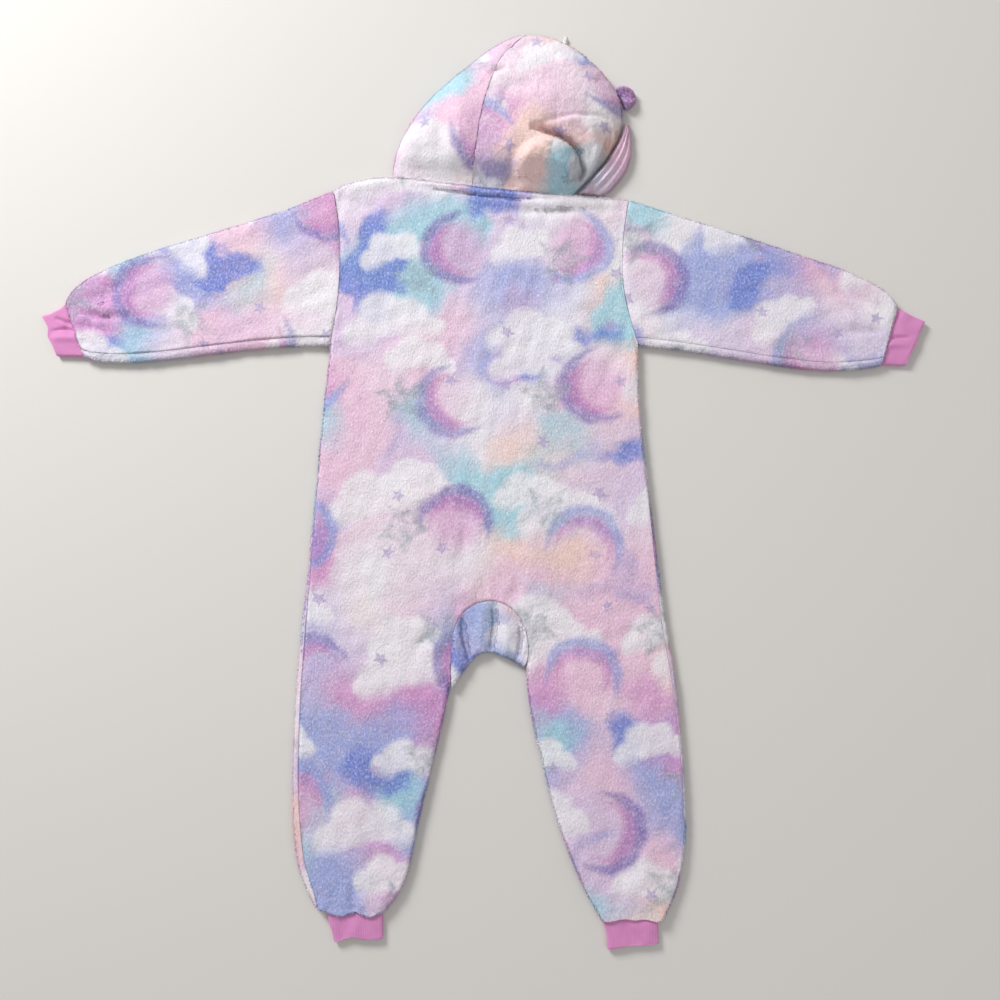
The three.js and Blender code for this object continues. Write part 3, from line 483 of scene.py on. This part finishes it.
def grown(name, base, inputs, build):
    """A piece made by Geometry Nodes over a base mesh. Inputs give each named input's kind and value, and
    build adds the nodes and gives the placed instances, which are made real and take their material."""
    tree = bpy.data.node_groups.new(name, "GeometryNodeTree")
    values = {}
    for label, (kind, value) in {"Base": ("NodeSocketGeometry", None), **inputs}.items():
        values[tree.interface.new_socket(label, in_out="INPUT", socket_type=kind)] = value
    tree.interface.new_socket("Piece", in_out="OUTPUT", socket_type="NodeSocketGeometry")

    def add(kind, links=(), **settings):
        made = tree.nodes.new(kind)
        for key, value in settings.items():
            setattr(made, key, value)
        for label, value in dict(links).items():
            if isinstance(value, bpy.types.NodeSocket):
                tree.links.new(value, made.inputs[label])
            else:
                made.inputs[label].default_value = value
        return made

    given = add("NodeGroupInput").outputs
    real = add("GeometryNodeRealizeInstances", {"Geometry": build(add, given)})
    smooth = add("GeometryNodeSetShadeSmooth", {"Geometry": real.outputs["Geometry"]})
    dressed = add("GeometryNodeSetMaterial", {"Geometry": smooth.outputs["Geometry"],
                                              "Material": given["Finish"]})
    tree.links.new(dressed.outputs["Geometry"], add("NodeGroupOutput").inputs["Piece"])

    piece = bpy.data.objects.new(name, base)
    bpy.context.scene.collection.objects.link(piece)
    modifier = piece.modifiers.new("grown", "NODES")
    modifier.node_group = tree
    for socket, value in values.items():
        if value is not None:
            modifier[socket.identifier] = value
    finished = bpy.data.meshes.new_from_object(piece.evaluated_get(bpy.context.evaluated_depsgraph_get()))
    piece.modifiers.clear()
    piece.data = finished
    return piece


def grown_pile(piece, spacing, seed, finish, length=2.2, width=0.55, flattest=0.8):
    """The tips of the pile where a panel turns over at its edges, as small leaning tufts that break up
    its outline. Sizes are millimetres."""
    base = piece.data.copy()
    shape = bmesh.new()
    shape.from_mesh(base)
    side = shape.faces.layers.int["skin"]
    bald = [face for face in shape.faces if face[side] != 1 or abs(face.normal.z) > flattest]
    bmesh.ops.delete(shape, geom=bald, context="FACES")
    shape.to_mesh(base)
    shape.free()
    lean, stray_low, stray_high = (0.1, -0.7, 0.1), (-0.8, -0.8, -0.2), (0.8, 0.8, 0.4)

    def build(add, given):
        points = add("GeometryNodeDistributePointsOnFaces", {
            "Mesh": given["Base"], "Density": given["Density"], "Seed": given["Seed"]})
        tuft = add("GeometryNodeMeshCone", {
            "Vertices": 3, "Radius Top": 0.0, "Radius Bottom": given["Tuft width"],
            "Depth": given["Tuft length"]})
        leaning = add("ShaderNodeVectorMath", {0: points.outputs["Normal"], 1: lean}, operation="ADD")
        stray = add("FunctionNodeRandomValue", {0: stray_low, 1: stray_high, "Seed": given["Seed"]},
                    data_type="FLOAT_VECTOR")
        heading = add("ShaderNodeVectorMath", {0: leaning.outputs[0], 1: stray.outputs[0]}, operation="ADD")
        turned = add("FunctionNodeAlignRotationToVector", {"Vector": heading.outputs[0]}, axis="Z")
        scale = add("FunctionNodeRandomValue", {2: 0.6, 3: 1.25, "Seed": given["Seed"]}, data_type="FLOAT")
        return add("GeometryNodeInstanceOnPoints", {
            "Points": points.outputs["Points"], "Instance": tuft.outputs["Mesh"],
            "Rotation": turned.outputs["Rotation"], "Scale": scale.outputs[1]}).outputs["Instances"]

    pile = grown(piece.name + "_pile", base, {
        "Density": ("NodeSocketFloat", 1 / (spacing * mm) ** 2), "Seed": ("NodeSocketInt", seed),
        "Tuft length": ("NodeSocketFloat", length * mm), "Tuft width": ("NodeSocketFloat", width * mm),
        "Finish": ("NodeSocketMaterial", finish)}, build)
    tips = points_of(pile)
    tips[:, 2] = np.maximum(tips[:, 2], 0)
    pile.data.vertices.foreach_set("co", tips.ravel())
    return pile


body_creases = [
    # path, half width, height
    # behind the neck and over the shoulders
    ([(-100, 340), (-50, 332), (-4, 325), (62, 318), (110, 314)], 4.5, 1.6),
    ([(-80, 331), (-23, 323), (-4, 319.5), (42, 316), (88, 315)], 2.4, -3.0),
    ([(12, 312), (60, 310), (110, 310), (158, 309)], 6.0, 2.6),
    ([(8, 304), (60, 301), (120, 302), (160, 303)], 4.5, -2.2),
    ([(-168, 318), (-146, 310), (-120, 303)], 8, -2.2),
    ([(-160, 328), (-130, 334), (-104, 336)], 6, 1.8),
    ([(-166, 300), (-150, 286), (-146, 262)], 9, 1.8),
    # the back and the seat
    ([(-20, -38), (-21, -80), (-19, -118)], 10, -2.2),
    ([(-64, -50), (-62, -100), (-48, -140)], 16, 1.8),
    ([(40, -60), (60, -110), (62, -150)], 16, 1.8),
    ([(-150, 250), (-120, 225), (-108, 190)], 12, -1.5),
    ([(120, 262), (104, 232), (100, 200)], 12, -1.5),
    ([(-165, 150), (-140, 118), (-132, 88)], 9, -2.0),
    ([(166, 148), (146, 120), (140, 92)], 9, -2.0),
    ([(-40, 205), (10, 198), (52, 206)], 14, 1.6),
    ([(-130, 20), (-90, 4), (-60, 12)], 12, -1.4),
    ([(-100, 60), (-60, 40), (-30, 44)], 13, -1.3),
    ([(60, 30), (95, 12), (120, 20)], 12, -1.4),
    ([(30, 110), (60, 90), (72, 60)], 13, 1.3),
    ([(-120, 150), (-80, 120), (-76, 90)], 12, 1.3),
    # round the gusset
    ([(-46, -178), (-70, -192), (-82, -220)], 6, -2.4),
    ([(-24, -158), (-21, -184), (-15, -214)], 3.4, -5.4),
    ([(-32, -170), (-30, -196), (-24, -222)], 3.6, 2.4),
    ([(12, -146), (13, -170), (8, -204)], 3.4, -5.2),
    ([(2, -148), (-2, -176), (-4, -206)], 6.0, 3.0),
    ([(24, -150), (28, -176), (26, -210)], 6.0, 3.0),
    ([(40, -160), (42, -186), (37, -216)], 3.4, -4.4),
    ([(-24, -156), (-34, -146), (-44, -140)], 4.0, -2.0),
    ([(-8, -148), (-14, -134), (-22, -124)], 3.6, 1.8),
    ([(4, -143), (2, -132), (-4, -120)], 3.6, -1.8),
    ([(26, -148), (34, -134), (44, -126)], 4.0, -2.0),
    ([(42, -160), (54, -150), (66, -146)], 4.0, 1.8),
    ([(-44, -156), (-62, -170), (-84, -176)], 6, 1.4),
    ([(58, -176), (82, -192), (96, -224)], 6, -2.4),
    ([(56, -158), (74, -166), (92, -168)], 6, 1.4),
    # legs and ankles
    ([(-148, -382), (-127, -400), (-113, -431)], 6, -2.6),
    ([(-160, -376), (-140, -392), (-124, -424)], 6, 2.0),
    ([(-142, -450), (-140, -462), (-139, -478)], 3.5, -2.4),
    ([(-196, -440), (-184, -456), (-172, -470)], 5, -2.0),
    ([(-180, -300), (-168, -340), (-170, -372)], 10, 1.5),
    ([(-112, -250), (-96, -282), (-100, -318)], 12, -1.5),
    ([(110, -300), (124, -340), (150, -368)], 11, 1.5),
    ([(130, -392), (150, -420), (152, -456)], 7, -2.0),
    ([(176, -400), (178, -430), (168, -462)], 7, 1.8),
    ([(190, -300), (204, -330), (206, -360)], 9, -1.4),
    # sleeves and wrists
    ([(-188, 290), (-230, 268), (-262, 262)], 12, -1.6),
    ([(-190, 200), (-230, 190), (-280, 196)], 12, -1.4),
    ([(-300, 250), (-340, 226), (-384, 214)], 11, 1.5),
    ([(-400, 226), (-428, 206), (-452, 196)], 8, -2.4),
    ([(-404, 176), (-436, 176), (-464, 182)], 3.6, -2.8),
    ([(-398, 186), (-430, 186), (-466, 192)], 5, 2.2),
    ([(-462, 168), (-446, 164), (-420, 156)], 4, -2.2),
    ([(-452, 206), (-440, 196), (-424, 192)], 4, -2.0),
    ([(184, 284), (220, 262), (262, 256)], 12, -1.6),
    ([(190, 190), (232, 184), (286, 190)], 12, -1.4),
    ([(300, 246), (340, 222), (380, 212)], 11, 1.5),
    ([(392, 232), (412, 208), (452, 184)], 5, -3.4),
    ([(400, 242), (424, 218), (454, 198)], 7, 2.8),
    ([(436, 214), (446, 204), (456, 200)], 4, -1.8),
    ([(400, 176), (428, 170), (452, 172)], 7, 1.8),
    ([(414, 160), (436, 158), (456, 160)], 4, -1.8),
]
ankle_bulges = [
    # place, radius, move: the cloth gathered at the ankles hangs over the cuffs
    ((-153, -480), 8, (0, -3.5, 0.8)), ((-122, -478), 9, (1, -4.5, 0.8)), ((-138, -477), 4, (0, 1.5, -1.2)),
    ((-174, -470), 8, (-1.5, -4, 0.4)), ((136, -487), 11, (-1, -3, 0.8)), ((164, -487), 7, (0, -1.5, 0.4)),
    ((188, -484), 10, (2, -3.5, 0.8)),
]
back, back_rim = cut_out("back", 3)
settle(back, back_rim, body_creases, seed=11, pinches=ankle_bulges)
back.data.materials.append(fleece)
belongs(back, "fleece", "back")
back_pile = grown_pile(back, 1.15, 21, fleece)
belongs(back_pile, "fleece")

# ----------------------------------------------------------------------------------------------------
# Fronts, gusset and sleeves: the other panels of the same fleece. The fronts lie under the back and
# show at the sides, the gusset is let in between the legs, and a sleeve is one piece folded round.
# ----------------------------------------------------------------------------------------------------

panels = {
    # node: subdivisions, outer side, turn and shift on the cloth, flat size, area, tufts' spacing, seed
    "front_left": (2, "down", 0.0, (1.3, 0.4), (0.24, 0.83), 0.137, 1.3, 10),
    "front_right": (2, "down", 0.0, (2.1, 0.7), (0.24, 0.83), 0.130, 1.3, 11),
    "crotch_gusset": (3, "up", 0.6, (0.9, 1.1), (0.13, 0.15), 0.0098, 1.1, 13),
    "sleeve_left": (3, "round", 0.35, (3.1, 0.2), (0.32, 0.36), 0.084, 1.15, 11),
    "sleeve_right": (3, "round", -0.35, (4.3, 0.9), (0.32, 0.36), 0.084, 1.15, 12),
}
for node, (levels, outside, turn, shift, flat, area, spacing, seed) in panels.items():
    piece, rim = cut_out(node, levels, turn, shift, outside)
    settle(piece, rim, body_creases, seed=seed, pinches=ankle_bulges)
    piece.data.materials.append(fleece)
    belongs(piece, "fleece", node)
    tufts = grown_pile(piece, spacing, 50 + seed, fleece)
    belongs(tufts, "fleece")

# ----------------------------------------------------------------------------------------------------
# Hood: two panels joined by a seam over the crown, turned over to the right and lying on the folded
# front of the hood. Its cloth is bunched into a lobe with a roll round it, and the hem is gathered.
# ----------------------------------------------------------------------------------------------------

hood_creases = [
    # path, half width, height: first the lobe, the groove and the roll round it, then the rest of the mound
    ([(80, 366), (96, 352), (94, 334)], 8, 5.0),
    ([(58, 368), (76, 362), (84, 348)], 3.2, -3.2),
    ([(50, 344), (66, 348), (82, 336)], 4.0, -2.2),
    ([(52, 388), (66, 387), (84, 381), (99, 373), (110, 364), (114, 351), (111, 338), (102, 322)],
     4.2, -19.0),
    ([(84, 399), (106, 399), (123, 389), (132, 371), (130, 348), (119, 328), (106, 308)], 7.5, 7.5),
    ([(60, 390), (80, 398), (101, 403), (128, 407), (146, 405)], 3.0, -2.8),
    ([(146, 396), (143, 372), (136, 350), (124, 326)], 4.0, -9.0),
    ([(160, 415), (157, 388), (146, 364), (131, 340)], 4.0, -5.0),
    ([(152, 404), (150, 382), (141, 358)], 4.0, 4.0),
    ([(30, 366), (32, 342), (42, 316)], 8, -5.0),
    ([(36, 392), (30, 372), (32, 352)], 10, 2.5),
    ([(40, 404), (80, 424), (118, 422)], 20, 4.0),
    ([(20, 430), (34, 440), (60, 442)], 9, -3.0),
    ([(6, 452), (14, 460), (28, 464)], 4.0, -4.0),
    ([(30, 500), (38, 494), (50, 492)], 4.0, -4.0),
    ([(84, 478), (108, 470), (132, 452)], 10, 3.0),
    ([(-60, 424), (-48, 392), (-50, 352)], 9, -4.0),
    ([(-86, 390), (-84, 368), (-80, 350)], 10, 3.0),
    ([(-30, 452), (-24, 410), (-26, 360)], 12, 3.0),
    ([(-96, 372), (-70, 366), (-48, 368)], 7, -2.0),
]
lobe = {"middle": (72, 346), "half_length": 37, "half_width": 29, "turn": 0.3, "height": 13.0}
neck_line = [(-106, 347), (-11, 334.5), (104, 323.5)]
neck_tuck = {"drawn_down": 3.4, "from_above": 24, "flat_height": 8.5, "share": 0.75}


def fold_hood(piece):
    """Lays the hood's folds: the whole wall follows its creases, and the lower edge is drawn down and
    in to the neck seam."""
    points = points_of(piece)
    height = points[:, 2] / mm
    across, along = points[:, 0] / mm - lobe["middle"][0], points[:, 1] / mm - lobe["middle"][1]
    cosine, sine = math.cos(lobe["turn"]), math.sin(lobe["turn"])
    away = np.hypot((across * cosine + along * sine) / lobe["half_length"],
                    (along * cosine - across * sine) / lobe["half_width"])
    lift = crease_lift(points, hood_creases) + lobe["height"] * mm * (1 - smoothstep(away, 0.62, 1.2))
    points[:, 2] += lift * smoothstep(height, 5, 16)
    line_y = np.interp(points[:, 0] / mm, [x for x, _ in neck_line], [y for _, y in neck_line])
    above = points[:, 1] / mm - line_y
    tucked = (1 - smoothstep(above, -6, neck_tuck["from_above"])) * smoothstep(height, 6, 9)
    points[:, 1] -= neck_tuck["drawn_down"] * mm * (1 - smoothstep(above, -1, 8))
    points[:, 2] -= tucked * np.maximum(points[:, 2] - neck_tuck["flat_height"] * mm, 0) * neck_tuck["share"]
    piece.data.vertices.foreach_set("co", points.ravel())
    piece.data.update()


hood_pieces = {
    # node: subdivisions, outer side, turn and shift on the cloth, flat size, area, tufts' spacing, seed,
    # how it lies and what it rests on
    "hood_layers": (3, "all", 0.2, (7.1, 0.8), (0.27, 0.21), 0.045, 3.0, 11, "folded", []),
    "hood_left": (3, "up", 0.4, (2.65, 0.37), (0.14, 0.21), 0.0150, 1.3, 9, "draped", ["hood_layers"]),
    "hood_right": (4, "up", -0.3, (3.48, 1.62), (0.19, 0.22), 0.0300, 1.4, 10, "draped", ["hood_layers"]),
    "hood_hem": (3, "all", 0.0, (-0.306, -0.302), (0.10, 0.06), 0.0034, 1.2, 8, "gathered", ["hood_layers"]),
}
for node, (levels, outside, turn, shift, flat, area, spacing, seed, held, under) in hood_pieces.items():
    piece, rim = cut_out(node, levels, turn, shift, outside)
    if node != "hood_hem":
        fold_hood(piece)
    settle(piece, rim, swell=0.4, reach=3.0, seed=seed)
    piece.data.materials.append(fleece)
    belongs(piece, "fleece", node)
    tufts = grown_pile(piece, spacing, 70 + seed, fleece, flattest=0.45)
    belongs(tufts, "fleece")

# ----------------------------------------------------------------------------------------------------
# Cuffs: doubled bands of fine orchid-pink rib, sewn on with the sleeve or leg gathered a little.
# ----------------------------------------------------------------------------------------------------

rib, flow, shader = new_material("pink rib", Roughness=0.85, Sheen_Weight=0.15)
place = flow.node("ShaderNodeAttribute", output=1, attribute_name="cut")
wale_pitch = 1.7 * mm
wales = place.part(1) * (2 * math.pi / wale_pitch)
ridges_and_shade = wales.maths("SINE", wales) * 0.5 + 0.5
wear = place.noise(0.01, 3, 0.6)
colour = place.node("ShaderNodeMix", {0: wear, 6: (*dye(212, 134, 190), 1), 7: (*dye(228, 150, 204), 1)}, 2,
                    data_type="RGBA")
# Painted shade: the tops of the wales are made lighter and the grooves between them darker in the colour, as
# light falls across the rib; the same profile raises the ridges in the bump.
colour.shaded(0.92 + ridges_and_shade * 0.09).into(shader, "Base Color")
knit = ridges_and_shade * 0.7 + place.noise(0.0012, 2, 0.6) * 0.3
knit.node("ShaderNodeBump", {"Strength": 0.5, "Distance": 0.0006, "Height": knit}).into(shader, "Normal")

cuffs = {
    # node: direction of the ribs, flat size, area, creases, tugs
    "wrist_cuff_left": (-0.35, (0.11, 0.04), 0.0036, [
        ([(-490, 176), (-476, 170), (-460, 168)], 2.4, -3.0),
        ([(-496, 152), (-480, 153), (-459, 152)], 4.5, 2.6),
        ([(-494, 161), (-478, 163), (-462, 160)], 1.6, -2.2),
        ([(-500, 198), (-488, 180), (-478, 164)], 4.5, 1.8)],
        [((-494, 170), 8, (7, 0, 0)), ((-500, 152), 6, (-2.5, -1, 0.5)), ((-507, 204), 6, (-1.0, 1.5, 0)),
         ((-462, 176), 12, (2.5, 0, 0.4))]),
    "wrist_cuff_right": (0.35, (0.11, 0.04), 0.0041, [
        ([(450, 148), (464, 153), (488, 153)], 1.8, -3.0),
        ([(450, 141), (468, 145), (486, 143)], 3.4, 2.0),
        ([(456, 166), (468, 172), (482, 190)], 3.6, -1.8),
        ([(462, 196), (458, 172), (454, 156)], 5.0, 1.6)],
        [((490, 164), 8, (-7, 0, 0)), ((489, 148), 5, (2.0, -1, 0.5)), ((484, 138), 5, (-1, -2, 0))]),
    "ankle_cuff_left": (math.pi / 2, (0.11, 0.04), 0.0036, [
        ([(-158, -486), (-150, -500), (-148, -514)], 5.0, -1.8),
        ([(-136, -486), (-138, -500), (-134, -512)], 6.0, 1.5)],
        [((-142, -520), 15, (0, 7.0, 0)), ((-120, -500), 8, (1.5, 0, 0)), ((-167, -502), 8, (1.5, 0, 0))]),
    "ankle_cuff_right": (math.pi / 2, (0.11, 0.04), 0.0036, [
        ([(150, -490), (160, -504), (164, -516)], 7.0, -1.2),
        ([(176, -488), (180, -500), (178, -512)], 6.0, 1.2)],
        [((160, -522), 12, (0, 2.0, 0)), ((132, -505), 9, (1.2, 0, 0))]),
}
for node, (turn, flat, area, creases, tugs) in cuffs.items():
    piece, rim = cut_out(node, 4, turn, outside="round")
    settle(piece, rim, creases, swell=0.5, dip=0.6, reach=2.0, nap=0.04, pinches=tugs)
    piece.data.materials.append(rib)
    belongs(piece, "rib", node)

# ----------------------------------------------------------------------------------------------------
# Horn and ears: the horn is stuffed white plush, the ears are two layers of the fleece with a little
# filling. Both are sewn into the hood's seams.
# ----------------------------------------------------------------------------------------------------

plush, flow, shader = new_material("white plush", Roughness=0.95, Sheen_Weight=0.3)
place = flow.node("ShaderNodeAttribute", output=1, attribute_name="cut")
fuzz = place.noise(0.002, 3, 0.6)
colour = place.node("ShaderNodeMix", {0: fuzz, 6: (*dye(226, 222, 224), 1), 7: (*dye(250, 248, 248), 1)}, 2,
                    data_type="RGBA")
colour.into(shader, "Base Color")
fuzz.node("ShaderNodeBump", {"Strength": 0.5, "Distance": 0.001, "Height": fuzz}).into(shader, "Normal")

stuffed = {
    # node: finish, its slot, filling, seed
    "horn": (plush, "white_plush", 0.9, 94),
    "ear_left": (fleece, "fleece", 0.3, 98),
    "ear_right": (fleece, "fleece", 0.3, 99),
}
for node, (finish, slot, fill, seed) in stuffed.items():
    piece, rim = cut_out(node, 3, 0.0, (-0.227, -0.721), "all")
    settle(piece, rim, swell=0, dip=0, nap=0.06)
    piece.data.materials.append(finish)
    belongs(piece, slot, node)
    tufts = grown_pile(piece, 1.4, seed, finish, length=1.8, flattest=1)
    belongs(tufts, slot)

# ----------------------------------------------------------------------------------------------------
# Zip: two woven tapes sewn under the fronts' edges, each with a coil of moulded pink nylon along it, and
# a plain metal slider with a hinged pull. The closed coils' turns lie between each other.
# ----------------------------------------------------------------------------------------------------

tape, flow, shader = new_material("woven tape", Roughness=0.8)
place = flow.node("ShaderNodeTexCoord", output=3)
weave_scale = 900.0
weave = place.node("ShaderNodeTexWave", {"Vector": place, "Scale": weave_scale, "Distortion": 0.4}, 1)
colour = place.node("ShaderNodeMix", {0: weave, 6: (*dye(214, 160, 208), 1), 7: (*dye(232, 182, 224), 1)}, 2,
                    data_type="RGBA")
colour.into(shader, "Base Color")
weave.node("ShaderNodeBump", {"Strength": 0.4, "Distance": 0.0003, "Height": weave}).into(shader, "Normal")

metal, flow, shader = new_material("bright metal", Metallic=1.0)
place = flow.node("ShaderNodeTexCoord", output=3)
rubbed = place.noise(0.003, 4, 0.6)
(0.22 + rubbed * 0.25).into(shader, "Roughness")
colour = place.node("ShaderNodeMix", {
    0: rubbed, 6: (*dye(205, 205, 208), 1), 7: (*dye(232, 232, 232), 1)}, 2, data_type="RGBA")
colour.into(shader, "Base Color")

zip_finishes = {"zip_tape_left": tape, "zip_tape_right": tape, "zip_slider": metal, "zip_pull": metal}
for node, finish in zip_finishes.items():
    for material_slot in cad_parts[node].material_slots:
        material_slot.material = finish

nylon, flow, shader = new_material("pink nylon", Roughness=0.4)
place = flow.node("ShaderNodeTexCoord", output=3)
milky = place.noise(0.004, 2, 0.5)
colour = place.node("ShaderNodeMix", {0: milky, 6: (*dye(222, 168, 214), 1), 7: (*dye(238, 192, 230), 1)}, 2,
                    data_type="RGBA")
colour.into(shader, "Base Color")
(0.34 + milky * 0.14).into(shader, "Roughness")

teeth_low, teeth_high = (Vector(corner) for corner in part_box("zip_teeth"))
tooth = Vector((2.75, 0.72, 0.8)) * mm
chain_half = 2.3 * mm
chain_bottom = Vector((teeth_high.x - chain_half, teeth_low.y + tooth.y, (teeth_low.z + teeth_high.z) / 2))
chain_top = Vector((teeth_low.x + chain_half, teeth_high.y - tooth.y, chain_bottom.z))
chain_tilt = math.atan2(chain_bottom.x - chain_top.x, chain_top.y - chain_bottom.y)
coil_pitch = 1.9 * mm


def build_chain(add, given):
    """Two rows of round-ended turns, one half a pitch past the other."""
    turn = add("GeometryNodeMeshUVSphere", {"Segments": 8, "Rings": 5, "Radius": 0.5})
    line = add("GeometryNodeMeshLine", {
        "Start Location": given["Bottom"], "Offset": given["Top"], "Resolution": given["Pitch"]},
        mode="END_POINTS", count_mode="RESOLUTION")
    rows = add("GeometryNodeJoinGeometry")
    for side in (-1, 1):
        aside = Vector((side * 0.36 * tooth.x, side * coil_pitch / 4, 0))
        moved = add("GeometryNodeSetPosition", {"Geometry": line.outputs["Mesh"], "Offset": aside})
        row = add("GeometryNodeInstanceOnPoints", {
            "Points": moved.outputs["Geometry"], "Instance": turn.outputs["Mesh"],
            "Rotation": (0, 0, chain_tilt), "Scale": given["Turn size"]})
        rows.id_data.links.new(row.outputs["Instances"], rows.inputs["Geometry"])
    return rows.outputs["Geometry"]


turn_size = (tooth.x, 2 * tooth.y, 2 * tooth.z)
coils = grown("zip_coils", bpy.data.meshes.new("zip_coils"), {
    "Bottom": ("NodeSocketVector", chain_bottom), "Top": ("NodeSocketVector", chain_top),
    "Pitch": ("NodeSocketFloat", coil_pitch), "Turn size": ("NodeSocketVector", turn_size),
    "Finish": ("NodeSocketMaterial", nylon)}, build_chain)
belongs(coils, "zip_teeth", "zip_teeth")
